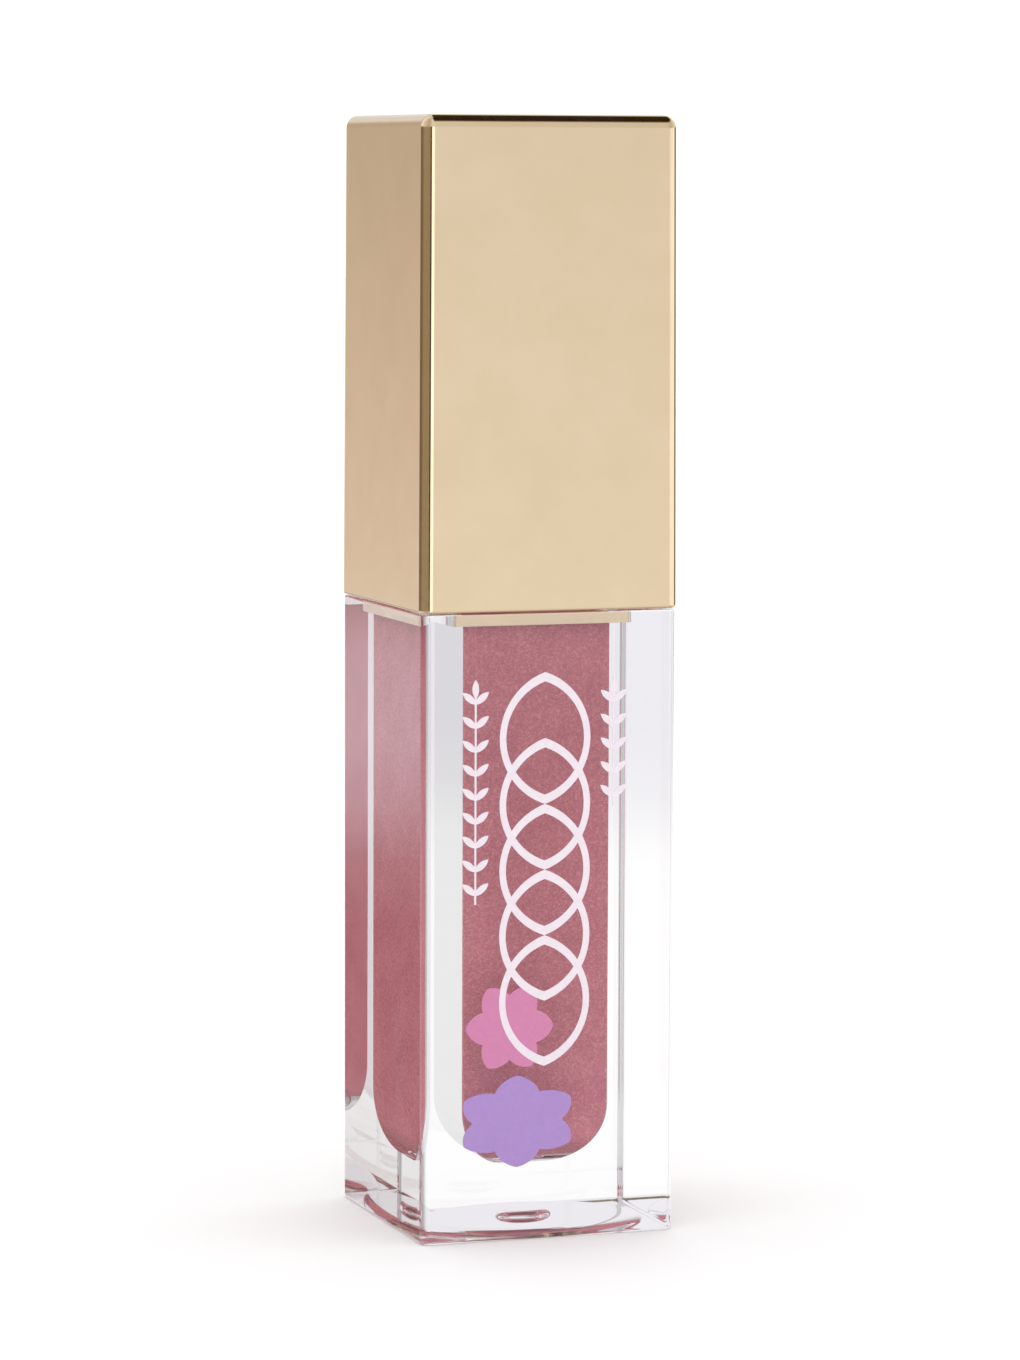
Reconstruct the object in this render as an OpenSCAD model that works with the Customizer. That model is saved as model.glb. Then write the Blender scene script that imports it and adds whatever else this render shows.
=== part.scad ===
// Square lip gloss tube: a heavy-walled clear bottle with a screw neck, a wiper, a tall gold cap and a
// doe-foot applicator. The origin is the middle of the base, +Z is up and the printed front faces -Y.
// All sizes are in millimetres.

/* [Bottle] */
// Width of the square bottle across its flats
bottle_w = 19; // [19:0.5:24]
// Height of the bottle from its base to its shoulder
bottle_h = 44.9; // [38:0.1:60]
// Radius of the bottle's four upright edges
bottle_edge_r = 0.6; // [0.2:0.1:1.5]
// Thickness of the solid base under the gloss
floor_t = 4.7; // [3:0.1:8]
// Width of the gloss chamber, side to side
chamber_w = 11; // [10:0.1:12]
// Depth of the gloss chamber, front to back
chamber_d = 10.8; // [10:0.1:12]
// Radius of the chamber's rounded bottom edges
chamber_floor_r = 4.4; // [1:0.2:4.8]
// How far the chamber sits to the left of the bottle's middle
chamber_shift_x = 0.3; // [0:0.1:0.5]
// How far the chamber sits in front of the bottle's middle
chamber_shift_y = 0.6; // [0:0.1:0.7]
// Depth of the round recess in the underside of the base
recess_h = 0.6; // [0.3:0.05:1.2]
// Diameter of the moulding gate's dimple in the middle of the recess
gate_d = 4.3; // [2.2:0.1:6]

/* [Neck] */
// Outside diameter of the neck, at the root of its thread
neck_d = 12.2; // [11.6:0.1:12.4]
// Height of the neck above the shoulder
neck_h = 11.5; // [10:0.5:14]
// Diameter of the bore that holds the wiper
bore_d = 9; // [8:0.1:9.4]
// Width of the neck's square flange, let into the top of the bottle
flange_w = 13.4; // [13:0.1:14]
// Thickness of the neck's square flange
flange_t = 1; // [0.8:0.1:1.4]

/* [Thread] */
// Rise of the thread in one turn
thread_pitch = 3; // [2.6:0.1:3.2]
// Height of the thread's ridge
thread_depth = 0.6; // [0.5:0.05:0.7]
// Turns of thread on the neck
neck_turns = 1.5; // [1:0.1:1.5]
// Turns of thread in the inner cap
cap_turns = 1.1; // [0.6:0.1:1.1]

/* [Cap] */
// Height of the gold cap
cap_h = 34.9; // [28:0.1:45]
// How much wider than the bottle the cap is at its lower rim
cap_flare = 0.22; // [0:0.02:0.6]
// How much the cap narrows from its lower rim to its top
cap_draft = 0.28; // [0:0.02:0.6]
// Radius of the cap's upright edges
cap_edge_r = 0.8; // [0.4:0.1:1.5]
// Radius around the top of the cap
cap_top_r = 0.9; // [0.4:0.1:1.5]
// Wall thickness of the cap
cap_wall = 1.3; // [1:0.1:1.4]
// Gap between the closed cap and the bottle's shoulder
cap_gap = 0.1; // [0.1:0.1:1]

/* [Applicator] */
// Diameter of the stem
stem_d = 3.6; // [3:0.1:3.8]
// Length of the flocked doe-foot tip
tip_len = 12; // [9:0.5:15]
// Angle between the tip's slanted face and its axis
tip_slant = 30; // [25:1:40]
// Gap between the end of the tip and the chamber's floor
tip_gap = 2.6; // [2:0.2:5]

/* [Print] */
// Thickness of the printed ink
ink_t = 0.04; // [0.02:0.01:0.1]

/* [Hidden] */
$fn = 64;

// Clearances: parts that are welded or pressed together, and parts that turn or slide past each other
seat_gap = 0.02;
run_gap = 0.05;
// Extra length on a cutter, so that it ends outside the solid it cuts
cut = 1;

// Levels up the bottle
chamber_top = bottle_h - flange_t;
chamber_h = chamber_top - floor_t;
neck_top = bottle_h + neck_h;

// Recess under the base and the gate's dimple in its ceiling, and the widths of their curved sides
recess_r = bottle_w / 2 - 0.4;
recess_side = 1.9;
gate_h = 0.5;
gate_side = 1;

// Wiper, pressed into the neck's bore
wiper_rim_t = 0.8;
wiper_rim_r = neck_d / 2 - 0.4;
wiper_top = neck_top + wiper_rim_t;
wiper_body_r = bore_d / 2 - seat_gap;
wiper_wall = 0.6;
wiper_len = 9.6;
wiper_cone_h = 3;
wiper_hole_r = stem_d / 2 + 0.2;
wiper_lip_t = 0.5;
wiper_lip_h = 0.7;

// Seal washer and the head of the stem, stacked on top of the wiper
washer_t = 0.8;
washer_z = wiper_top + seat_gap;
ceiling_z = washer_z + washer_t + run_gap;
ceiling_t = 1.2;
head_z = ceiling_z + ceiling_t + run_gap;
head_r = 3.2;
head_t = 1.2;

// Thread ridges: half widths at the root and at the crest, and how far the root is buried in its wall
ridge_root = 0.55;
ridge_crest = 0.3;
ridge_bury = 0.3;
ridge_steps = 24;
thread_z = bottle_h + 3.2;

// Inner cap, glued inside the gold shell
skirt_bore_r = neck_d / 2 + thread_depth + 0.2;
skirt_r = skirt_bore_r + 1.05;
skirt_z = bottle_h + 0.8;
fin_t = 1.2;

// Gold shell
cap_w = bottle_w + cap_flare;
cap_z = bottle_h + cap_gap;
cap_top = cap_z + cap_h;
cap_hollow_w = cap_w - cap_draft - 2 * cap_wall;
cap_hollow_r = 0.5;
top_steps = 6;

// Applicator tip
tip_r = stem_d / 2;
core_r = 1.1;
core_flock_t = 0.6;
shank_r = 1;
shank_h = 5;
tip_z = floor_t + tip_gap;
tip_top = tip_z + tip_len;
channel_r = stem_d / 2 + 0.25;

// A square with rounded corners, centred on the origin
module rounded_square(w, r) {
    square([w - 2 * r, w], center = true);
    square([w, w - 2 * r], center = true);
    for (x = [-1, 1], y = [-1, 1])
        translate([x * (w / 2 - r), y * (w / 2 - r)]) circle(r);
}

// A straight-sided outline standing on y = 0, with rounded bottom corners
module tub_outline(w, h, r) {
    translate([-w / 2, r]) square([w, h - r]);
    translate([r - w / 2, 0]) square([w - 2 * r, h]);
    for (x = [-1, 1]) translate([x * (w / 2 - r), r]) circle(r);
}

// The chamber, drawn in from its walls and floor by gap. It is the outline seen from the front
// crossed with the outline seen from the side.
module chamber_space(h, gap) {
    translate([-chamber_shift_x, -chamber_shift_y, floor_t + gap]) intersection() {
        rotate([90, 0, 0]) linear_extrude(bottle_w, center = true)
            tub_outline(chamber_w - 2 * gap, h - gap, chamber_floor_r);
        rotate([90, 0, 90]) linear_extrude(bottle_w, center = true)
            tub_outline(chamber_d - 2 * gap, h - gap, chamber_floor_r);
    }
}

// One helical ridge on or in a round wall. The crest lies at radius crest_r, and the root is buried
// in the wall at radius root_r. The ridge sinks towards its wall at both ends.
module thread_ridge(root_r, crest_r, turns, z) {
    steps = ceil(turns * ridge_steps);
    function fade(i) = min(1, 0.4 + 0.15 * min(i, steps - i));
    function ring(i) =
        let (turn = turns * i / steps, a = 360 * turn, r = root_r + (crest_r - root_r) * fade(i))
        [for (p = [[root_r, -ridge_root], [r, -ridge_crest], [r, ridge_crest], [root_r, ridge_root]])
            [p[0] * cos(a), p[0] * sin(a), p[1] + thread_pitch * turn]];
    sides = [for (i = [0:steps - 1], k = [0:3])
        [4 * i + k, 4 * i + (k + 1) % 4, 4 * i + 4 + (k + 1) % 4, 4 * i + 4 + k]];
    ends = [[3, 2, 1, 0], [for (k = [0:3]) 4 * steps + k]];
    // A ridge that points inwards is the mirror case, so its faces turn the other way
    inward = crest_r < root_r;
    faces = [for (f = concat(sides, ends)) inward ? [for (k = [len(f) - 1:-1:0]) f[k]] : f];
    translate([0, 0, z]) polyhedron([for (i = [0:steps]) each ring(i)], faces);
}

// A pointed oval between two arcs, w wide and h tall
module pointed_oval(w, h) {
    r = (w * w + h * h) / (4 * w);
    intersection_for(side = [-1, 1]) translate([side * (r - w / 2), 0]) circle(r);
}

module oval_ring(w, h, line) {
    difference() {
        pointed_oval(w, h);
        pointed_oval(w - 2 * line, h * (1 - 2 * line / w));
    }
}

// A braid of oval rings, each overlapping the next by half its height
module oval_braid(w, h, line, count) {
    for (i = [1:count]) translate([0, i * h / 2]) oval_ring(w, h, line);
}

// A thin upright stalk with pairs of leaves, one pair every leaf_h
module sprig(leaf_h, pairs) {
    translate([-0.07, 0]) square([0.14, pairs * leaf_h]);
    for (i = [1:pairs], side = [-1, 1]) translate([0, (i - 0.6) * leaf_h])
        rotate(-50 * side) translate([0, 0.35 * leaf_h]) pointed_oval(0.5, 0.8 * leaf_h);
    translate([0, pairs * leaf_h]) pointed_oval(0.5, 0.8 * leaf_h);
}

module flower(petal_w, petal_h, petals) {
    for (i = [0:petals - 1])
        rotate(360 * i / petals) translate([0, petal_h / 2]) pointed_oval(petal_w, petal_h);
    circle(petal_w / 3);
}

// The white ornament: a wide braid between two sprigs
module white_ornament() {
    translate([-0.4, bottle_h - 32.4]) oval_braid(6.8, 9.4, 0.48, 5);
    translate([-5.6, bottle_h - 20.6]) sprig(1.7, 9);
    translate([4.75, bottle_h - 13.9]) sprig(1.7, 5);
}

module on_front() {
    translate([0, -bottle_w / 2, 0]) rotate([90, 0, 0]) linear_extrude(ink_t) children();
}

// The side of a round hollow, as points that curve from its flat ceiling out and down to its edge
function hollow_side(r, side, z, h) =
    [for (a = [0:15:90]) [r - side + side * sin(a), z + h * cos(a)]];

module bottle_body() {
    color("white", 0.3) difference() {
        linear_extrude(bottle_h) rounded_square(bottle_w, bottle_edge_r);
        chamber_space(chamber_h + cut, 0);
        translate([0, 0, chamber_top])
            linear_extrude(flange_t + cut) square(flange_w + 2 * seat_gap, center = true);
        rotate_extrude($fn = 128) polygon([
            [0, recess_h + gate_h],
            each hollow_side(gate_d / 2, gate_side, recess_h, gate_h),
            each hollow_side(recess_r, recess_side, 0, recess_h),
            [recess_r, -cut],
            [0, -cut]
        ]);
    }
}

module neck_collar() {
    color("wheat") difference() {
        union() {
            translate([0, 0, chamber_top]) linear_extrude(flange_t) square(flange_w, center = true);
            translate([0, 0, chamber_top]) cylinder(h = flange_t + neck_h, d = neck_d);
            thread_ridge(neck_d / 2 - ridge_bury, neck_d / 2 + thread_depth, neck_turns, thread_z);
        }
        translate([0, 0, chamber_top - cut]) cylinder(h = flange_t + neck_h + 2 * cut, d = bore_d);
    }
}

module gloss_fill() {
    color("palevioletred") difference() {
        chamber_space(chamber_h - seat_gap, seat_gap);
        translate([0, 0, tip_z - 0.5]) cylinder(h = bottle_h, r = channel_r);
    }
}

// The wiper is one turned profile: a rim, a thin sleeve, and a cone that ends in the wiping lip
module wiper() {
    z0 = wiper_top - wiper_rim_t;
    inner_r = wiper_body_r - wiper_wall;
    lip_z = z0 - wiper_len;
    color("ivory") rotate_extrude() polygon([
        [inner_r, wiper_top],
        [wiper_rim_r, wiper_top],
        [wiper_rim_r, z0],
        [wiper_body_r, z0],
        [wiper_body_r, lip_z + wiper_cone_h],
        [wiper_hole_r + wiper_lip_t, lip_z],
        [wiper_hole_r, lip_z],
        [wiper_hole_r, lip_z + wiper_lip_h],
        [inner_r, lip_z + wiper_cone_h + wiper_wall]
    ]);
}

module front_print_white() {
    color("white") on_front() white_ornament();
}

module front_print_lilac() {
    color("mediumpurple") on_front() difference() {
        translate([-2.4, 8.6]) scale([1.4, 1]) flower(2.5, 3.3, 6);
        white_ornament();
    }
}

module front_print_pink() {
    color("hotpink") on_front() difference() {
        translate([-3, 15.4]) rotate(30) flower(2.4, 3.3, 6);
        white_ornament();
    }
}

module cap_shell() {
    color("burlywood") difference() {
        hull() {
            translate([0, 0, cap_z]) linear_extrude(0.01) rounded_square(cap_w, cap_edge_r, $fn = 32);
            for (i = [0:top_steps]) {
                a = 90 * i / top_steps;
                inset = cap_top_r * (1 - cos(a));
                translate([0, 0, cap_top - cap_top_r * (1 - sin(a)) - 0.01]) linear_extrude(0.01)
                    rounded_square(cap_w - cap_draft - 2 * inset, cap_edge_r, $fn = 32);
            }
        }
        translate([0, 0, cap_z - cut]) linear_extrude(cap_h - cap_wall + cut)
            rounded_square(cap_hollow_w, cap_hollow_r);
    }
}

// The threaded cup that grips the neck, with four fins that key into the shell's corners
module inner_cap() {
    fin_reach = (cap_hollow_w / 2 - 2 * run_gap) * sqrt(2) - fin_t / 2;
    color("goldenrod") union() {
        difference() {
            union() {
                translate([0, 0, skirt_z]) cylinder(h = ceiling_z + ceiling_t - skirt_z, r = skirt_r);
                for (a = [45, 135]) rotate(a) translate([-fin_reach, -fin_t / 2, skirt_z])
                    cube([2 * fin_reach, fin_t, ceiling_z + ceiling_t - skirt_z]);
            }
            translate([0, 0, skirt_z - cut]) cylinder(h = ceiling_z - skirt_z + cut, r = skirt_bore_r);
            translate([0, 0, ceiling_z - cut]) cylinder(h = ceiling_t + 2 * cut, d = stem_d + 2 * run_gap);
        }
        thread_ridge(
            skirt_bore_r + ridge_bury, skirt_bore_r - thread_depth, cap_turns, thread_z + thread_pitch / 2
        );
    }
}

module seal_washer() {
    color("lightgrey") translate([0, 0, washer_z]) difference() {
        cylinder(h = washer_t, r = wiper_rim_r);
        translate([0, 0, -cut]) cylinder(h = washer_t + 2 * cut, d = stem_d + 2 * run_gap);
    }
}

module applicator_stem() {
    color("snow") difference() {
        union() {
            translate([0, 0, tip_top]) cylinder(h = head_z - tip_top, d = stem_d);
            translate([0, 0, head_z]) cylinder(h = head_t, r = head_r);
        }
        translate([0, 0, tip_top - cut]) cylinder(h = shank_h + cut, r = shank_r);
    }
}

// Everything below the doe foot's slanted face, which rises from the tip's lowest point. The face is
// set back by the thickness of flock that lies on it.
module slant_cutter(flock_t) {
    translate([-tip_r - flock_t, 0, tip_z]) rotate([0, tip_slant, 0])
        translate([0, -bottle_w / 2, -bottle_w / 2]) cube(bottle_w);
}

// The plastic core inside the flock, h tall
module tip_core(h) {
    difference() {
        translate([0, 0, tip_z + 1]) cylinder(h = h, r = core_r);
        slant_cutter(core_flock_t);
    }
}

module applicator_tip() {
    color("ghostwhite") {
        tip_core(tip_len - 1 - seat_gap);
        translate([0, 0, tip_top - 1]) cylinder(h = shank_h, r = shank_r - seat_gap);
    }
}

module tip_flock() {
    color("mistyrose") difference() {
        translate([0, 0, tip_z]) cylinder(h = tip_len - seat_gap, r = tip_r);
        slant_cutter(0);
        tip_core(tip_len);
    }
}

bottle_body();
neck_collar();
gloss_fill();
wiper();
front_print_white();
front_print_lilac();
front_print_pink();
cap_shell();
inner_cap();
seal_washer();
applicator_stem();
applicator_tip();
tip_flock();
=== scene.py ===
"""Lip gloss tube: the finished meshes, materials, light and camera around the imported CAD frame.

Lengths named here are in millimetres, as in the part's source; MM turns them into metres.
"""

import math
import random

import bmesh
import bpy
from mathutils import Euler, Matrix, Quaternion, Vector


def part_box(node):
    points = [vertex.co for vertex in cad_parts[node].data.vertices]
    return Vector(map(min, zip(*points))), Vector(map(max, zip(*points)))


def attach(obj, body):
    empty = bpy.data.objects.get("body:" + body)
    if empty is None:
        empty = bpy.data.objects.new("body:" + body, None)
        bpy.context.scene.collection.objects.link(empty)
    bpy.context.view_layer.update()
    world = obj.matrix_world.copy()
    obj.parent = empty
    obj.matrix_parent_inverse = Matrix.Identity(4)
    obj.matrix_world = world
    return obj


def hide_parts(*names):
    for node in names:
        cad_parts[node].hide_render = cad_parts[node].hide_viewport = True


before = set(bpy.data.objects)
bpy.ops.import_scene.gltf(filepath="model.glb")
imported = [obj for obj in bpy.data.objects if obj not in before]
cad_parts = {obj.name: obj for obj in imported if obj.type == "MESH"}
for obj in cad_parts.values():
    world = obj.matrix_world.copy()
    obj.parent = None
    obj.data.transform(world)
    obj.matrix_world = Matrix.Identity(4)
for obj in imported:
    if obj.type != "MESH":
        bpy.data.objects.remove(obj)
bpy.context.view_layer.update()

MM = 0.001


def corners(node):
    """A CAD node's lowest and highest corners, in millimetres."""
    low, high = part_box(node)
    return low / MM, high / MM


# ---------------------------------------------------------------- sizes from the frame

body_low, body_high = corners("bottle_body")
neck_low, neck_high = corners("neck_collar")
gloss_low, gloss_high = corners("gloss_fill")
wiper_low, wiper_high = corners("wiper")
cap_low, cap_high = corners("cap_shell")
inner_low, inner_high = corners("inner_cap")
washer_low, washer_high = corners("seal_washer")
stem_low, stem_high = corners("applicator_stem")
flock_low, flock_high = corners("tip_flock")

BOTTLE_W = body_high.x - body_low.x
SHOULDER_Z = body_high.z
CHAMBER_TOP = neck_low.z
NECK_TOP = neck_high.z
CAP_W = cap_high.x - cap_low.x

# ---------------------------------------------------------------- sizes of the mouldings

BOTTLE_EDGE = 0.6
# The clear skin stands this far out of the CAD's faces, so that it meets the back of the printed ink
SKIN_PROUD = 0.005
RIM_EDGE = 0.25
SHOULDER_EDGE = 0.1
RECESS_H = 0.6
RECESS_R = BOTTLE_W / 2 - 0.4
RECESS_SIDE = 1.9
GATE_H = 0.5
GATE_R = 2.15
GATE_SIDE = 1
CHAMBER_EDGE = 0.15
CHAMBER_FLOOR_R = 4.4
GLOSS_PROUD = 0.03
FLANGE_W = neck_high.x * 2
FLANGE_EDGE = 0.3
FLANGE_GAP = 0.04
NECK_R = 6.1
BORE_R = 4.5
THREAD_PITCH = 3.0
THREAD_DEPTH = 0.6
THREAD_ROOT = 0.55
THREAD_CREST = 0.3
THREAD_Z = SHOULDER_Z + 3.2
NECK_TURNS = 1.5
CAP_TURNS = 1.1
STEM_R = 1.8
STEM_GAP = 0.05
SOCKET_R = 1
SOCKET_H = 5
CHANNEL_R = 2.05
CAP_EDGE = 0.8
CAP_TOP_EDGE = 0.9
CAP_DRAFT = 0.28
CAP_WALL = 1.3
CAP_HOLLOW_EDGE = 0.5
SKIRT_BORE_R = NECK_R + THREAD_DEPTH + 0.2
SKIRT_R = SKIRT_BORE_R + 1.05
FIN_T = 1.2
TIP_SLANT = math.radians(30)
FIBRES = 3600
FIBRE_REACH_R = 1.94

# ---------------------------------------------------------------- mesh tools

CORNER_STEPS = 8
# Places along a ring's straight side. The first and last lie close to the corners, so that the
# rounding doesn't bend the shading of the flat face.
SIDE_PLACES = (0.004, *(k / 8 for k in range(1, 8)), 0.996)
RING = 4 * (CORNER_STEPS + 1 + len(SIDE_PLACES))
# How far a ring that keeps a flat face's shading flat lies from the rounding
SUPPORT = 0.06


def square_ring(width, depth, edge, z, x=0.0, y=0.0):
    """A rounded rectangle of RING points, counter-clockwise from the corner at +X +Y."""
    points = []
    signs = [(1, 1), (-1, 1), (-1, -1), (1, -1)]
    for k, (sx, sy) in enumerate(signs):
        cx, cy = sx * (width / 2 - edge), sy * (depth / 2 - edge)
        arc = [math.radians(90 * k + 90 * i / CORNER_STEPS) for i in range(CORNER_STEPS + 1)]
        points += [Vector((cx + edge * math.cos(a), cy + edge * math.sin(a), z)) for a in arc]
        nx, ny = signs[(k + 1) % 4]
        next_a = math.radians(90 * (k + 1))
        start = points[-1]
        end = Vector((
            nx * (width / 2 - edge) + edge * math.cos(next_a),
            ny * (depth / 2 - edge) + edge * math.sin(next_a),
            z,
        ))
        points += [start.lerp(end, t) for t in SIDE_PLACES]
    return [p + Vector((x, y, 0)) for p in points]


def ring_angle(i):
    """The angle of a round ring's point i, lined up with square_ring's corners."""
    return math.radians(45) + 2 * math.pi * (i - CORNER_STEPS / 2) / RING


def round_ring(radius, z):
    """A circle of RING points. radius is a number or a function of the angle."""
    points = []
    for i in range(RING):
        a = ring_angle(i)
        r = radius(a) if callable(radius) else radius
        points.append(Vector((r * math.cos(a), r * math.sin(a), z)))
    return points


def loft(name, rings, body, closed=False, smooth_angle=35):
    """A closed mesh through the rings, in millimetres. A ring of one point closes an end, and closed
    joins the last ring to the first. The rings run so that the surface faces out."""
    bm = bmesh.new()
    rows = [[bm.verts.new(p * MM) for p in ring] for ring in rings]
    pairs = list(zip(rows, rows[1:]))
    if closed:
        pairs.append((rows[-1], rows[0]))
    for a, b in pairs:
        for i in range(max(len(a), len(b))):
            j = (i + 1) % max(len(a), len(b))
            if len(a) == 1:
                bm.faces.new((a[0], b[j], b[i]))
            elif len(b) == 1:
                bm.faces.new((a[i], a[j], b[0]))
            else:
                bm.faces.new((a[i], a[j], b[j], b[i]))
    bmesh.ops.recalc_face_normals(bm, faces=bm.faces)
    return finish_mesh(name, bm, body, smooth_angle)


def finish_mesh(name, bm, body, smooth_angle=35):
    """Turns a bmesh into an object that rides on a body, smooth except across sharp edges."""
    mesh = bpy.data.meshes.new(name)
    for face in bm.faces:
        face.smooth = True
    for edge in bm.edges:
        if len(edge.link_faces) == 2 and edge.calc_face_angle(0) > math.radians(smooth_angle):
            edge.smooth = False
    bm.to_mesh(mesh)
    bm.free()
    piece = bpy.data.objects.new(name, mesh)
    bpy.context.scene.collection.objects.link(piece)
    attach(piece, body)
    return piece


def fillet(points, steps=5):
    """Rounds a polyline's corners. Each point is (r, z) or (r, z, radius of its corner)."""
    out = []
    for i, point in enumerate(points):
        p = Vector(point[:2])
        radius = point[2] if len(point) > 2 else 0
        if radius == 0 or i in (0, len(points) - 1):
            out.append(p)
            continue
        to_a = (Vector(points[i - 1][:2]) - p).normalized()
        to_b = (Vector(points[i + 1][:2]) - p).normalized()
        half = to_a.angle(to_b) / 2
        reach = radius / math.tan(half)
        centre = p + (to_a + to_b).normalized() * (radius / math.sin(half))
        start, end = p + to_a * reach - centre, p + to_b * reach - centre
        turn = start.angle(end)
        for k in range(steps + 1):
            t = k / steps
            a = math.sin((1 - t) * turn) / math.sin(turn)
            b = math.sin(t * turn) / math.sin(turn)
            out.append(centre + start * a + end * b)
    return out


def lathe(name, profile, body, closed=False):
    """A turned piece from an (r, z) profile. A point on the axis closes an end."""
    rings = []
    for p in fillet(profile):
        rings.append([Vector((0, 0, p.y))] if p.x < 1e-6 else round_ring(p.x, p.y))
    return loft(name, rings, body, closed)


def thread_height(angle, z, start_z, turns):
    """How far a ridge stands out of its wall, from 0 to 1, at a place on a right-hand thread."""
    best = 0.0
    for turn in range(-1, int(turns) + 2):
        along = angle / (2 * math.pi) % 1 + turn
        if not 0 <= along <= turns:
            continue
        off = abs(z - start_z - THREAD_PITCH * along)
        slope = (THREAD_ROOT - off) / (THREAD_ROOT - THREAD_CREST)
        lead = min(1.0, min(along, turns - along) / 0.08)
        best = max(best, min(1.0, max(0.0, slope)) * lead)
    return best * best * (3 - 2 * best)


# ---------------------------------------------------------------- bottle

def chamber_rings(proud, top):
    """The chamber's walls from its mouth down to its floor, moved out into the plastic by proud."""
    low, high = gloss_low, gloss_high
    x, y = (low.x + high.x) / 2, (low.y + high.y) / 2
    width, depth = high.x - low.x + 2 * proud, high.y - low.y + 2 * proud
    floor = low.z - proud
    r = CHAMBER_FLOOR_R
    rings = [square_ring(width, depth, CHAMBER_EDGE, top, x, y)]
    steps = 16
    for k in range(steps + 1):
        a = math.radians(90 * k / steps)
        shrink = 2 * r * (1 - math.cos(a))
        rings.append(square_ring(
            width - shrink, depth - shrink, CHAMBER_EDGE, floor + r - r * math.sin(a), x, y))
    rings.append([Vector((x, y, floor))])
    return rings


def edge_rings(width, edge, radius, z, up, steps=5):
    """The rings that round a square's rim, from its flat face at height z to its walls."""
    flat_w = width - 2 * radius - 2 * SUPPORT
    rings = [square_ring(flat_w, flat_w, max(edge - radius - SUPPORT, 0.08), z)]
    for k in range(steps + 1):
        a = math.radians(90 * k / steps)
        inset = radius * (1 - math.sin(a))
        corner = max(edge - inset, 0.1)
        rise = radius * (1 - math.cos(a))
        rings.append(square_ring(width - 2 * inset, width - 2 * inset, corner, z + up * rise))
    rings.append(square_ring(width, width, edge, z + up * (radius + SUPPORT)))
    return rings


def hollow_rings(radius, side, floor, height):
    """A round hollow seen from below: its flat ceiling, then a side that curves down to floor."""
    steps = 12
    rings = [round_ring(radius - side - SUPPORT, floor + height)]
    for k in range(steps + 1):
        a = math.radians(90 * k / steps)
        rings.append(round_ring(radius - side + side * math.sin(a), floor + height * math.cos(a)))
    return rings


def make_bottle():
    width = BOTTLE_W + 2 * SKIN_PROUD
    rings = [[Vector((0, 0, RECESS_H + GATE_H))]]
    rings += hollow_rings(GATE_R, GATE_SIDE, RECESS_H, GATE_H)
    rings.append(round_ring(GATE_R + SUPPORT, RECESS_H))
    rings += hollow_rings(RECESS_R, RECESS_SIDE, 0, RECESS_H)
    rings += edge_rings(width, BOTTLE_EDGE, RIM_EDGE, 0, 1)[1:]
    rings += reversed(edge_rings(width, BOTTLE_EDGE, SHOULDER_EDGE, SHOULDER_Z, -1))
    pocket = FLANGE_W + FLANGE_GAP
    rings.append(square_ring(pocket, pocket, FLANGE_EDGE, SHOULDER_Z))
    rings.append(square_ring(pocket, pocket, FLANGE_EDGE, CHAMBER_TOP))
    rings += chamber_rings(0, CHAMBER_TOP)
    piece = loft("bottle_clear", rings, "bottle")
    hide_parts("bottle_body")
    return piece


def make_neck():
    rings = [
        round_ring(BORE_R, CHAMBER_TOP),
        square_ring(FLANGE_W, FLANGE_W, FLANGE_EDGE, CHAMBER_TOP),
        square_ring(FLANGE_W, FLANGE_W, FLANGE_EDGE, SHOULDER_Z),
    ]
    rings += [round_ring(p.x, p.y) for p in fillet([
        (NECK_R + 0.35, SHOULDER_Z), (NECK_R, SHOULDER_Z, 0.3), (NECK_R, SHOULDER_Z + 0.7)])]
    z, top = SHOULDER_Z + 0.9, NECK_TOP - 0.6
    steps = 72
    for k in range(steps + 1):
        level = z + (top - z) * k / steps
        rings.append(round_ring(
            lambda a: NECK_R + THREAD_DEPTH * thread_height(a, level, THREAD_Z, NECK_TURNS), level))
    rings += [round_ring(p.x, p.y) for p in fillet([
        (NECK_R, NECK_TOP - 0.5), (NECK_R, NECK_TOP, 0.25), (BORE_R, NECK_TOP, 0.15),
        (BORE_R, NECK_TOP - 1)])]
    piece = loft("neck_insert", rings, "bottle", closed=True)
    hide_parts("neck_collar")
    return piece


def make_gloss():
    top = CHAMBER_TOP + GLOSS_PROUD
    channel_low = flock_low.z - 0.5
    rings = [
        [Vector((0, 0, channel_low))],
        round_ring(CHANNEL_R, channel_low),
        round_ring(CHANNEL_R, top),
    ]
    rings += chamber_rings(GLOSS_PROUD, top)
    piece = loft("gloss_liquid", rings, "bottle")
    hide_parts("gloss_fill")
    return piece


def make_wiper():
    rim_z = wiper_high.z - 0.8
    body_r = BORE_R - 0.02
    inner_r = body_r - 0.6
    lip_z = wiper_low.z
    hole_r = STEM_R + 0.2
    piece = lathe("wiper_sleeve", [
        (inner_r, lip_z + 6), (inner_r, wiper_high.z, 0.2), (wiper_high.x, wiper_high.z, 0.15),
        (wiper_high.x, rim_z, 0.15), (body_r, rim_z, 0.05), (body_r, lip_z + 3, 0.4),
        (hole_r + 0.5, lip_z, 0.15), (hole_r, lip_z, 0.1), (hole_r, lip_z + 0.7, 0.2),
        (inner_r, lip_z + 3.6, 0.5)
    ], "bottle", closed=True)
    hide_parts("wiper")
    return piece


# ---------------------------------------------------------------- cap

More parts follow.
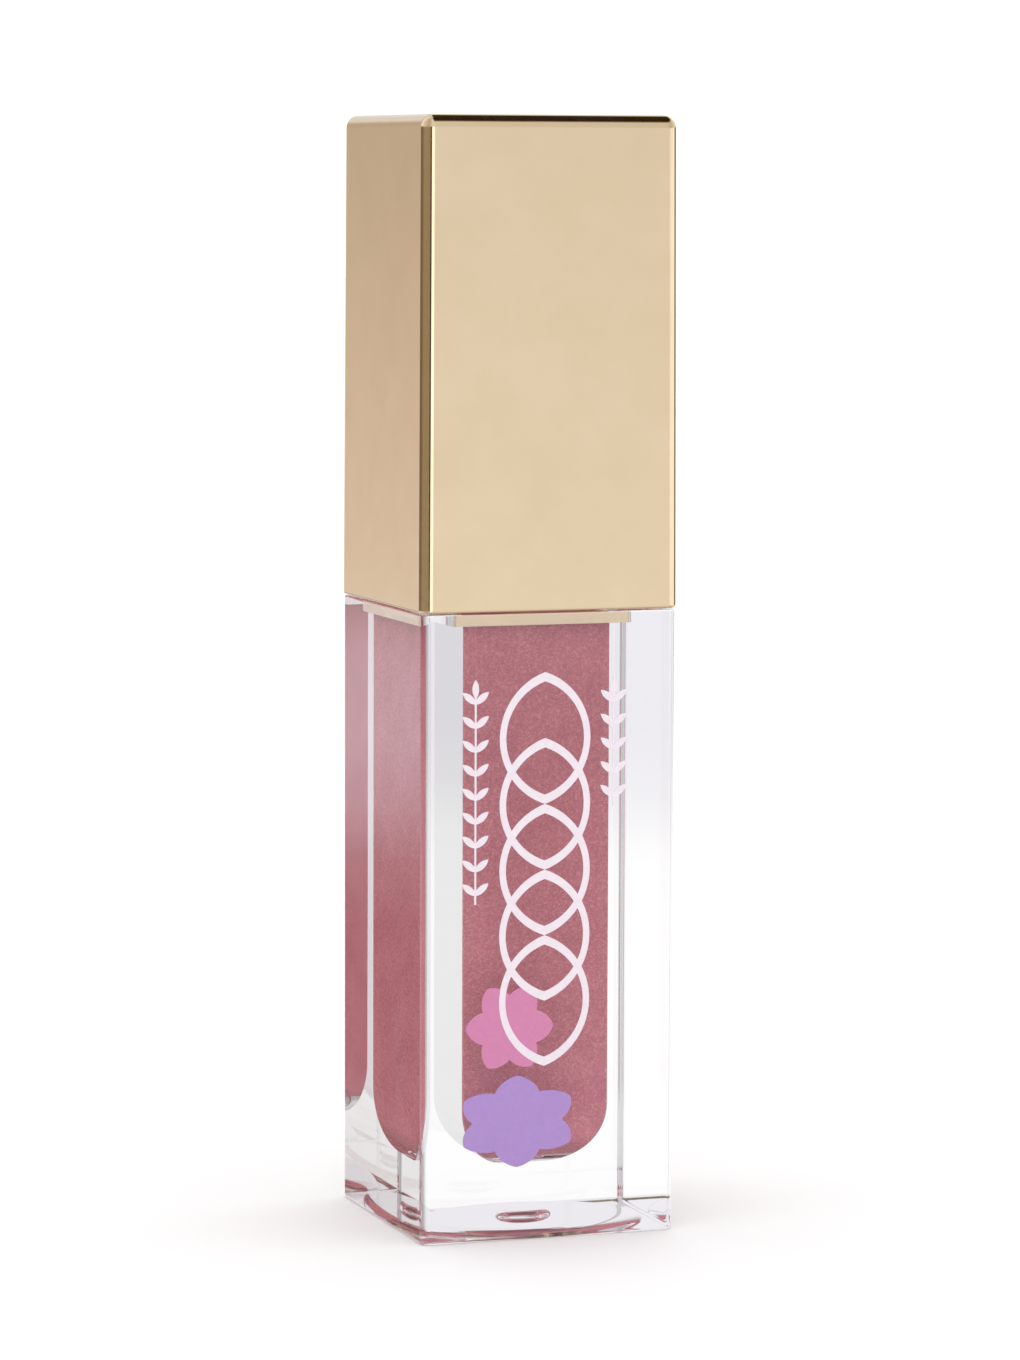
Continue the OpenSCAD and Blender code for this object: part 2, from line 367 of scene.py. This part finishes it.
def make_cap():
    hollow = CAP_W - CAP_DRAFT - 2 * CAP_WALL
    ceiling = cap_high.z - CAP_WALL
    rings = [
        [Vector((0, 0, ceiling))],
        square_ring(hollow - 1, hollow - 1, 0.4, ceiling),
        square_ring(hollow - 0.2, hollow - 0.2, CAP_HOLLOW_EDGE, ceiling - 0.1),
        square_ring(hollow, hollow, CAP_HOLLOW_EDGE, ceiling - 0.5),
        square_ring(hollow, hollow, CAP_HOLLOW_EDGE, cap_low.z + 0.25),
        square_ring(hollow + 0.1, hollow + 0.1, CAP_HOLLOW_EDGE, cap_low.z + 0.08),
        square_ring(hollow + 0.3, hollow + 0.3, CAP_HOLLOW_EDGE, cap_low.z),
    ]
    rings += edge_rings(CAP_W, CAP_EDGE, 0.15, cap_low.z, 1)[1:]
    rings += reversed(edge_rings(CAP_W - CAP_DRAFT, CAP_EDGE, CAP_TOP_EDGE, cap_high.z, -1, 12))
    rings.append([Vector((0, 0, cap_high.z))])
    piece = loft("cap_gold", rings, "cap")
    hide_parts("cap_shell")
    return piece


def add_fin(bm, angle, start, end, low, high):
    """An upright plate that stands out from the inner cap towards a corner of the shell."""
    bevel = 0.15
    outline = fillet([
        (start, -FIN_T / 2), (end, -FIN_T / 2, bevel), (end, FIN_T / 2, bevel), (start, FIN_T / 2)], 3)
    across = Vector((-math.sin(angle), math.cos(angle), 0))
    along = Vector((math.cos(angle), math.sin(angle), 0))
    rows = [
        [bm.verts.new((along * p.x + across * p.y + Vector((0, 0, z))) * MM) for p in outline]
        for z in (low, high)]
    count = len(outline)
    for k in range(count):
        m = (k + 1) % count
        face = bm.faces.new((rows[0][k], rows[0][m], rows[1][m], rows[1][k]))
        face.smooth = True
    for row in (list(reversed(rows[0])), rows[1]):
        bm.faces.new(row)
        for k in range(count):
            bm.edges.get((row[k], row[(k + 1) % count])).smooth = False


def make_inner_cap():
    low, high = inner_low.z, inner_high.z
    ceiling = high - 1.2
    hole_r = STEM_R + STEM_GAP
    rings = [round_ring(p.x, p.y) for p in fillet([
        (hole_r, ceiling), (hole_r, high), (SKIRT_R, high, 0.3), (SKIRT_R, low, 0.2),
        (SKIRT_BORE_R, low, 0.2), (SKIRT_BORE_R, low + 0.8)])]
    z, top = low + 1, ceiling - 0.3
    steps = 84
    for k in range(steps + 1):
        level = z + (top - z) * k / steps
        rings.append(round_ring(
            lambda a: SKIRT_BORE_R - THREAD_DEPTH * thread_height(
                a, level, THREAD_Z + THREAD_PITCH / 2, CAP_TURNS), level))
    rings.append(round_ring(SKIRT_BORE_R, ceiling))
    piece = loft("inner_cap_threaded", rings, "cap", closed=True)
    bm = bmesh.new()
    bm.from_mesh(piece.data)
    reach = (CAP_W - CAP_DRAFT - 2 * CAP_WALL) / math.sqrt(2) - FIN_T / 2 - 0.2
    for k in range(4):
        add_fin(bm, math.radians(45 + 90 * k), SKIRT_R - 0.1, reach, low, high)
    bm.to_mesh(piece.data)
    bm.free()
    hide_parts("inner_cap")
    return piece


def make_washer():
    hole_r = STEM_R + STEM_GAP
    low, high, r = washer_low.z, washer_high.z, washer_high.x
    piece = lathe("seal_washer_soft", [
        (hole_r, (low + high) / 2), (hole_r, high, 0.1), (r, high, 0.2), (r, low, 0.2), (hole_r, low, 0.1)
    ], "lift", closed=True)
    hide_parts("seal_washer")
    return piece


def make_stem():
    head_z = stem_high.z - 1.2
    piece = lathe("applicator_rod", [
        (0, stem_high.z), (stem_high.x, stem_high.z, 0.25), (stem_high.x, head_z, 0.15),
        (STEM_R, head_z, 0.1), (STEM_R, stem_low.z, 0.12), (SOCKET_R, stem_low.z),
        (SOCKET_R, stem_low.z + SOCKET_H), (0, stem_low.z + SOCKET_H)
    ], "rise")
    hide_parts("applicator_stem")
    return piece


def foot_point(z, angle):
    """A point on the doe foot: a round rod cut by a slanted plane, with soft edges and a round end."""
    low, r = flock_low.z + 0.05, STEM_R - 0.03
    rounding = math.sqrt(max(0.0, 1 - (1 - min(1.0, (z - low) / 1.1)) ** 2))
    reach = min((z - low) * math.tan(TIP_SLANT) - r, r)
    half_x = (reach + r) / 2 * rounding
    half_y = math.sqrt(max(0.02, r * r - max(0.0, -reach) ** 2)) * rounding
    power = 2 / 2.4
    cx, cy = math.cos(angle), math.sin(angle)
    x = (reach - r) / 2 + half_x * math.copysign(abs(cx) ** power, cx)
    y = half_y * math.copysign(abs(cy) ** power, cy)
    scale = min(1.0, r / max(1e-6, math.hypot(x, y)))
    return Vector((x * scale, y * scale, z))


def add_fibre(bm, root, tip, thickness):
    """A closed three-sided spike."""
    along = (tip - root).normalized()
    side = along.orthogonal().normalized() * thickness
    turns = [Quaternion(along, 2 * math.pi * k / 3) for k in range(3)]
    foot = [bm.verts.new((root + turn @ side) * MM) for turn in turns]
    end = bm.verts.new(tip * MM)
    bm.faces.new(reversed(foot))
    for k in range(3):
        bm.faces.new((foot[k], foot[(k + 1) % 3], end))


def make_flock():
    """The flocked doe foot: a rounded slanted tip covered with short fibres."""
    low, high = flock_low.z + 0.05, flock_high.z
    steps = 40
    rings = [[foot_point(low, 0)]]
    for k in range(1, steps + 1):
        t = k / steps
        z = low + (high - low) * t * t * (1.6 - 0.6 * t)
        rings.append([foot_point(z, ring_angle(i)) for i in range(RING)])
    rings.append([Vector((0, 0, high))])
    piece = loft("doe_foot_flock", rings, "cap", smooth_angle=60)
    bm = bmesh.new()
    bm.from_mesh(piece.data)
    rng = random.Random(7)
    for _ in range(FIBRES):
        z = rng.uniform(low + 0.1, high - 0.2)
        angle = rng.uniform(0, 2 * math.pi)
        root, beside = foot_point(z, angle), foot_point(z, angle + 0.05)
        above = foot_point(z + 0.05, angle)
        out = (beside - root).cross(above - root).normalized()
        lean = Vector((rng.uniform(-0.5, 0.5), rng.uniform(-0.5, 0.5), rng.uniform(-0.6, 0.2)))
        tip = root + (out + lean).normalized() * rng.uniform(0.1, 0.2)
        tip.z = min(tip.z, high)
        wide = math.hypot(tip.x, tip.y)
        if wide > FIBRE_REACH_R:
            tip.x, tip.y = tip.x * FIBRE_REACH_R / wide, tip.y * FIBRE_REACH_R / wide
        add_fibre(bm, root - out * 0.03, tip, rng.uniform(0.016, 0.028))
    bm.to_mesh(piece.data)
    bm.free()
    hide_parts("tip_flock")
    return piece


# ---------------------------------------------------------------- materials

class Nodes:
    """Short calls for building the nodes of a material or of the world."""

    def __init__(self, owner):
        self.owner = owner
        owner.use_nodes = True
        self.tree = owner.node_tree
        self.tree.nodes.clear()

    def add(self, kind, **inputs):
        node = self.tree.nodes.new(kind)
        for name, value in inputs.items():
            self.put(node.inputs[name.replace("_", " ")], value)
        return node

    def put(self, socket, value):
        if isinstance(value, bpy.types.NodeSocket):
            self.tree.links.new(value, socket)
        else:
            socket.default_value = value

    def place(self):
        """The point in the piece's own frame, in millimetres."""
        where = self.add("ShaderNodeTexCoord").outputs["Object"]
        node = self.add("ShaderNodeVectorMath")
        node.operation = "SCALE"
        self.put(node.inputs[0], where)
        self.put(node.inputs[3], 1 / MM)
        return node.outputs[0]

    def noise(self, scale, detail):
        node = self.add("ShaderNodeTexNoise", Scale=scale, Detail=detail)
        self.put(node.inputs["Vector"], self.place())
        return node.outputs["Fac"]

    def math(self, operation, *values):
        node = self.add("ShaderNodeMath")
        node.operation = operation
        for socket, number in zip(node.inputs, values):
            self.put(socket, number)
        return node.outputs[0]

    def blend(self, share, first, second, kind="MIX"):
        """A mix of two colours, from first at share 0 to second at share 1."""
        node = self.add("ShaderNodeMix")
        node.data_type = "RGBA"
        node.blend_type = kind
        for index, number in ((0, share), (6, first), (7, second)):
            self.put(node.inputs[index], number)
        return node.outputs[2]

    def span(self, value, low, high, from_low=0.0, from_high=1.0):
        """The value's place between from_low and from_high, carried over to low and high."""
        node = self.add("ShaderNodeMapRange")
        for socket, number in zip(node.inputs[:5], (value, from_low, from_high, low, high)):
            self.put(socket, number)
        return node.outputs["Result"]

    def ramp(self, value, *stops):
        node = self.add("ShaderNodeValToRGB")
        self.put(node.inputs["Fac"], value)
        elements = node.color_ramp.elements
        while len(elements) < len(stops):
            elements.new(0.5)
        for element, (place, colour) in zip(elements, stops):
            element.position = place
            element.color = (*colour, 1)
        return node.outputs["Color"]

    def bump(self, height, strength, distance):
        node = self.add("ShaderNodeBump", Strength=strength, Distance=distance * MM)
        self.put(node.inputs["Height"], height)
        return node.outputs["Normal"]

    def principled(self, **inputs):
        return self.add("ShaderNodeBsdfPrincipled", **inputs)

    def finish(self, shader, kind="ShaderNodeOutputMaterial"):
        self.put(self.add(kind).inputs["Surface"], shader)
        return self.owner


def material_nodes(name):
    return Nodes(bpy.data.materials.new(name))


def clear_plastic(name, tint):
    """Clear moulded plastic: refracting, with faint flow waves and fine handling marks."""
    n = material_nodes(name)
    waves = n.noise(0.12, 1.0)
    shader = n.principled(Base_Color=(*tint, 1), IOR=1.59)
    shader.inputs["Transmission Weight"].default_value = 1.0
    n.put(shader.inputs["Roughness"], n.span(n.noise(2.5, 4.0), 0.0, 0.012, 0.45, 0.8))
    n.put(shader.inputs["Normal"], n.bump(waves, 0.05, 0.2))
    return n.finish(shader.outputs["BSDF"])


def gold_film(name, wave):
    """Metallised plastic: a bright warm gold with a soft lacquer haze and a slight moulding wave."""
    n = material_nodes(name)
    tone = n.ramp(n.noise(0.25, 2.0), (0.3, (0.80, 0.64, 0.43)), (0.7, (0.83, 0.67, 0.46)))
    shader = n.principled(Base_Color=tone, Metallic=1.0)
    n.put(shader.inputs["Roughness"], n.span(n.noise(1.6, 5.0), 0.07, 0.12, 0.3, 0.75))
    n.put(shader.inputs["Normal"], n.bump(n.noise(0.35, 1.0), wave, 0.1))
    return n.finish(shader.outputs["BSDF"])


def pearl_gloss(name):
    """Rose gloss with fine pearl, touching the inside of the plastic. Seen through the plastic at a
    flat angle the boundary mirrors, because the gloss bends light less than the plastic does."""
    n = material_nodes(name)
    cells = n.add("ShaderNodeTexVoronoi", Scale=9.0)
    n.put(cells.inputs["Vector"], n.place())
    flake = n.add("ShaderNodeSeparateColor")
    n.put(flake.inputs[0], cells.outputs["Color"])
    cloud = n.noise(0.35, 3.0)
    base = n.ramp(cloud, (0.35, (0.76, 0.265, 0.325)), (0.65, (0.83, 0.305, 0.365)))
    shine = n.ramp(
        flake.outputs[0], (0.0, (0.80, 0.74, 0.76)), (0.7, (0.98, 0.96, 0.97)), (1.0, (1.09, 1.25, 1.2)))
    # The underside lies in the shade of the table
    facing = n.add("ShaderNodeSeparateXYZ")
    n.put(facing.inputs[0], n.add("ShaderNodeNewGeometry").outputs["Normal"])
    level = n.span(facing.outputs[2], 0.0, 1.0, -1.0, 0.0)
    shade = n.ramp(level, (0.02, (0.40, 0.34, 0.36)), (0.5, (1.0, 1.0, 1.0)))
    colour = n.blend(1.0, n.blend(1.0, base, shine, "MULTIPLY"), shade, "MULTIPLY")
    shader = n.principled(Base_Color=colour, Roughness=0.45)
    shader.inputs["Specular IOR Level"].default_value = 0.0
    mirror = n.add("ShaderNodeBsdfGlossy", Roughness=0.0)
    fresnel = n.add("ShaderNodeFresnel", IOR=0.92)
    both = n.add("ShaderNodeMixShader")
    n.put(both.inputs[0], fresnel.outputs[0])
    n.put(both.inputs[1], shader.outputs["BSDF"])
    n.put(both.inputs[2], mirror.outputs["BSDF"])
    return n.finish(both.outputs[0])


def ink(name, colour):
    """Screen-printed ink: a flat, slightly uneven film with a soft sheen."""
    n = material_nodes(name)
    darker = tuple(c * 0.94 for c in colour)
    tone = n.ramp(n.noise(3.0, 4.0), (0.3, darker), (0.7, colour))
    shader = n.principled(Base_Color=tone)
    n.put(shader.inputs["Roughness"], n.span(n.noise(8.0, 2.0), 0.35, 0.5))
    n.put(shader.inputs["Normal"], n.bump(n.noise(14.0, 2.0), 0.15, 0.01))
    return n.finish(shader.outputs["BSDF"])


def moulded(name, colour, rough, grain=5.0, soften=0.0):
    """Plain moulded plastic or rubber with a fine surface grain."""
    n = material_nodes(name)
    darker = tuple(c * 0.93 for c in colour)
    tone = n.ramp(n.noise(0.8, 3.0), (0.35, darker), (0.65, colour))
    shader = n.principled(Base_Color=tone)
    shader.inputs["Subsurface Weight"].default_value = soften
    shader.inputs["Subsurface Scale"].default_value = 0.8 * MM
    n.put(shader.inputs["Roughness"], n.span(n.noise(grain, 3.0), rough - 0.06, rough + 0.06))
    n.put(shader.inputs["Normal"], n.bump(n.noise(grain * 2, 2.0), 0.12, 0.02))
    return n.finish(shader.outputs["BSDF"])


def flock(name):
    """Short dense fibres wetted with gloss."""
    n = material_nodes(name)
    tone = n.ramp(n.noise(9.0, 3.0), (0.3, (0.54, 0.21, 0.25)), (0.7, (0.72, 0.36, 0.39)))
    shader = n.principled(Base_Color=tone, Roughness=0.7)
    shader.inputs["Sheen Weight"].default_value = 0.6
    n.put(shader.inputs["Normal"], n.bump(n.noise(18.0, 2.0), 0.6, 0.08))
    return n.finish(shader.outputs["BSDF"])


def dress(piece, material):
    piece.data.materials.clear()
    piece.data.materials.append(material)


# ---------------------------------------------------------------- build

dress(make_bottle(), clear_plastic("clear_body", (0.995, 0.995, 1.0)))
dress(make_neck(), gold_film("gold_neck", 0.6))
dress(make_gloss(), pearl_gloss("pearl_gloss"))
dress(make_wiper(), moulded("wiper_soft", (0.84, 0.83, 0.80), 0.45, soften=0.3))
dress(make_cap(), gold_film("gold_film", 0.08))
dress(make_inner_cap(), moulded("inner_cap_gold", (0.72, 0.55, 0.33), 0.35))
dress(make_washer(), moulded("washer_foam", (0.78, 0.78, 0.76), 0.7, 3.0))
dress(make_stem(), moulded("stem_plastic", (0.74, 0.72, 0.71), 0.3, soften=0.2))
dress(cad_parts["applicator_tip"], moulded("tip_core_plastic", (0.74, 0.72, 0.71), 0.4))
dress(make_flock(), flock("flock_wet"))
dress(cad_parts["front_print_white"], ink("ink_white", (0.82, 0.73, 0.79)))
dress(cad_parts["front_print_lilac"], ink("ink_lilac", (0.40, 0.245, 0.57)))
dress(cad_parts["front_print_pink"], ink("ink_pink", (0.62, 0.21, 0.39)))


# ---------------------------------------------------------------- floor, light and camera

# Brightness of the studio for the camera and for soft light. Slightly over white, so that the floor
# and the background meet without a line.
STUDIO_WHITE = 1.2


def make_floor():
    """A wide pale floor. Reflections and the clear plastic see the studio's light table instead."""
    bm = bmesh.new()
    half = 3000 * MM
    corners_xy = [(-half, -half), (half, -half), (half, half), (-half, half)]
    bm.faces.new([bm.verts.new((x, y, 0)) for x, y in corners_xy])
    mesh = bpy.data.meshes.new("floor")
    bm.to_mesh(mesh)
    bm.free()
    floor = bpy.data.objects.new("floor", mesh)
    bpy.context.scene.collection.objects.link(floor)
    floor.visible_glossy = False
    floor.visible_transmission = False
    n = material_nodes("floor_paper")
    tone = n.ramp(n.noise(0.01, 3.0), (0.3, (0.93, 0.93, 0.93)), (0.7, (0.95, 0.95, 0.95)))
    shader = n.principled(Base_Color=tone, Roughness=0.8)
    dress(floor, n.finish(shader.outputs["BSDF"]))


def grey(level):
    return (level, level, level)


def make_world():
    """The studio as it is seen in reflections: bright panels around the tube with dark gaps between
    them. Azimuth runs in degrees from behind the tube (+Y) through its left side (-X) to its front."""
    n = Nodes(bpy.data.worlds.new("studio"))
    split = n.add("ShaderNodeSeparateXYZ")
    n.put(split.inputs[0], n.add("ShaderNodeTexCoord").outputs["Generated"])
    x, y, z = split.outputs
    turn = n.math("MULTIPLY", n.math("ARCTAN2", n.math("MULTIPLY", x, -1.0), y), 1 / (2 * math.pi))
    azimuth = n.math("FRACT", n.math("ADD", turn, 1.0))
    elevation = n.span(n.math("ARCSINE", z), 0.0, 1.0, -math.pi / 2, math.pi / 2)

    def around(*stops):
        """Colours by azimuth, from stops of degrees and colour."""
        return n.ramp(azimuth, *((degrees / 360, level) for degrees, level in stops))

    def upward(*stops):
        """Colours by elevation, from stops of degrees and colour."""
        return n.ramp(elevation, *((0.5 + degrees / 180, level) for degrees, level in stops))

    umber, bronze, tan = (0.03, 0.018, 0.008), (0.22, 0.17, 0.11), (0.38, 0.31, 0.22)
    # Panels and gaps at the height of the cap, which give its upright edges their lines
    panels = around(
        (0, grey(0.9)), (24, grey(1.0)), (30, bronze), (62, bronze), (85, tan),
        (150, tan), (156, umber), (165, umber), (170, grey(1.8)), (187, grey(1.8)),
        (193, grey(1.0)), (212, grey(0.98)), (225, grey(1.3)), (276, grey(1.3)), (286, bronze),
        (332, bronze), (341, grey(0.8)), (359, grey(0.9)))
    eye_level = upward((-90, grey(0)), (-7, grey(0)), (-5.4, grey(1)), (1.5, grey(1)), (5, grey(0)))
    # The room above and below them: soft and pale, warmer where it is darker
    room = around(
        (0, grey(0.85)), (45, grey(1.1)), (90, (0.82, 0.76, 0.68)), (135, (0.60, 0.53, 0.44)),
        (180, grey(1.0)), (225, (0.70, 0.64, 0.56)), (270, grey(0.85)), (315, grey(1.1)),
        (359, grey(0.85)))
    falling = upward((-90, grey(0.6)), (-35, grey(0.85)), (-9, grey(1.1)), (12, grey(1.0)))
    room = n.blend(1.0, room, falling, "MULTIPLY")
    panels = n.blend(eye_level, room, panels)

    # How light each sector is by height: in front, overhead and behind on the left
    front = upward((-90, grey(0.97)), (-6, grey(0.97)), (1, grey(0.88)), (45, grey(0.92)))
    ahead = around((0, grey(0)), (120, grey(0)), (150, grey(1)), (230, grey(1)), (260, grey(0)))
    over = upward(
        (-90, grey(0.95)), (40, grey(0.95)), (48, tan), (53, umber), (76, umber), (82, grey(0.9)))
    lid = around((0, grey(0)), (185, grey(0)), (200, grey(1)), (332, grey(1)), (340, grey(0)))
    high = upward((-90, grey(0)), (30, grey(0)), (40, grey(1)))
    lid = n.blend(1.0, lid, high, "MULTIPLY")
    warm_dark, cool_light = (0.14, 0.09, 0.06), (0.9, 0.97, 0.97)
    back = upward(
        (-90, grey(0.9)), (-13.5, grey(0.9)), (-12.4, (0.30, 0.24, 0.18)), (-9.5, warm_dark),
        (-8, warm_dark), (-6.6, cool_light), (-5.6, cool_light), (-4.8, (0.85, 0.74, 0.68)),
        (0.5, (0.62, 0.53, 0.45)), (7, (0.58, 0.49, 0.41)), (45, grey(0.8)))
    behind = around((0, grey(0)), (9, grey(0)), (14, grey(1)), (25, grey(1)), (30, grey(0)))
    heights = n.blend(lid, n.blend(ahead, (*grey(0.95), 1), front), over)
    heights = n.blend(behind, heights, back)
    mirrored = n.blend(1.0, panels, heights, "MULTIPLY")

    # What shows through the clear plastic: white, darker at the sides
    through = upward((-90, grey(1.0)), (-7.8, grey(1.0)), (-6.8, (0.84, 0.825, 0.86)))
    sides = around(
        (0, grey(1)), (12, grey(1.03)), (28, grey(1.03)), (35, grey(1)), (60, grey(0.5)),
        (80, grey(0.5)), (90, grey(0.68)), (130, grey(0.68)), (155, grey(1)), (235, grey(1)),
        (250, grey(0.65)), (275, grey(0.65)), (288, grey(0.45)), (305, grey(0.45)), (325, grey(1)))
    through = n.blend(1.0, through, sides, "MULTIPLY")

    path = n.add("ShaderNodeLightPath")
    seen = n.blend(path.outputs["Is Glossy Ray"], (*grey(STUDIO_WHITE), 1), mirrored)
    seen = n.blend(path.outputs["Is Transmission Ray"], seen, through)
    soft = n.math("GREATER_THAN", path.outputs["Diffuse Depth"], 0.5)
    seen = n.blend(soft, seen, (*grey(STUDIO_WHITE), 1))
    background = n.add("ShaderNodeBackground", Color=seen)
    bpy.context.scene.world = n.finish(background.outputs[0], "ShaderNodeOutputWorld")


def make_camera():
    """The camera stands to the left of the tube's front, almost level with the top of the cap."""
    stand, look = math.radians(19.04), math.radians(19.055)
    pitch, roll = math.radians(5.71), math.radians(-0.2)
    reach, height = 372 * MM, 76.4 * MM
    camera = bpy.data.cameras.new("camera")
    camera.lens = 136.5
    camera.sensor_width = 36
    camera.clip_end = 100
    rig = bpy.data.objects.new("camera", camera)
    rig.location = (-reach * math.sin(stand), -reach * math.cos(stand), height)
    rig.rotation_euler = Euler((math.radians(90) - pitch, roll, -look), "XYZ")
    bpy.context.scene.collection.objects.link(rig)
    bpy.context.scene.camera = rig


make_floor()
make_world()
make_camera()

# Light passes through many faces of the clear plastic
scene = bpy.context.scene
scene.view_settings.view_transform = "Standard"
scene.cycles.max_bounces = 32
scene.cycles.transmission_bounces = 24
scene.cycles.glossy_bounces = 12
scene.cycles.use_denoising = True
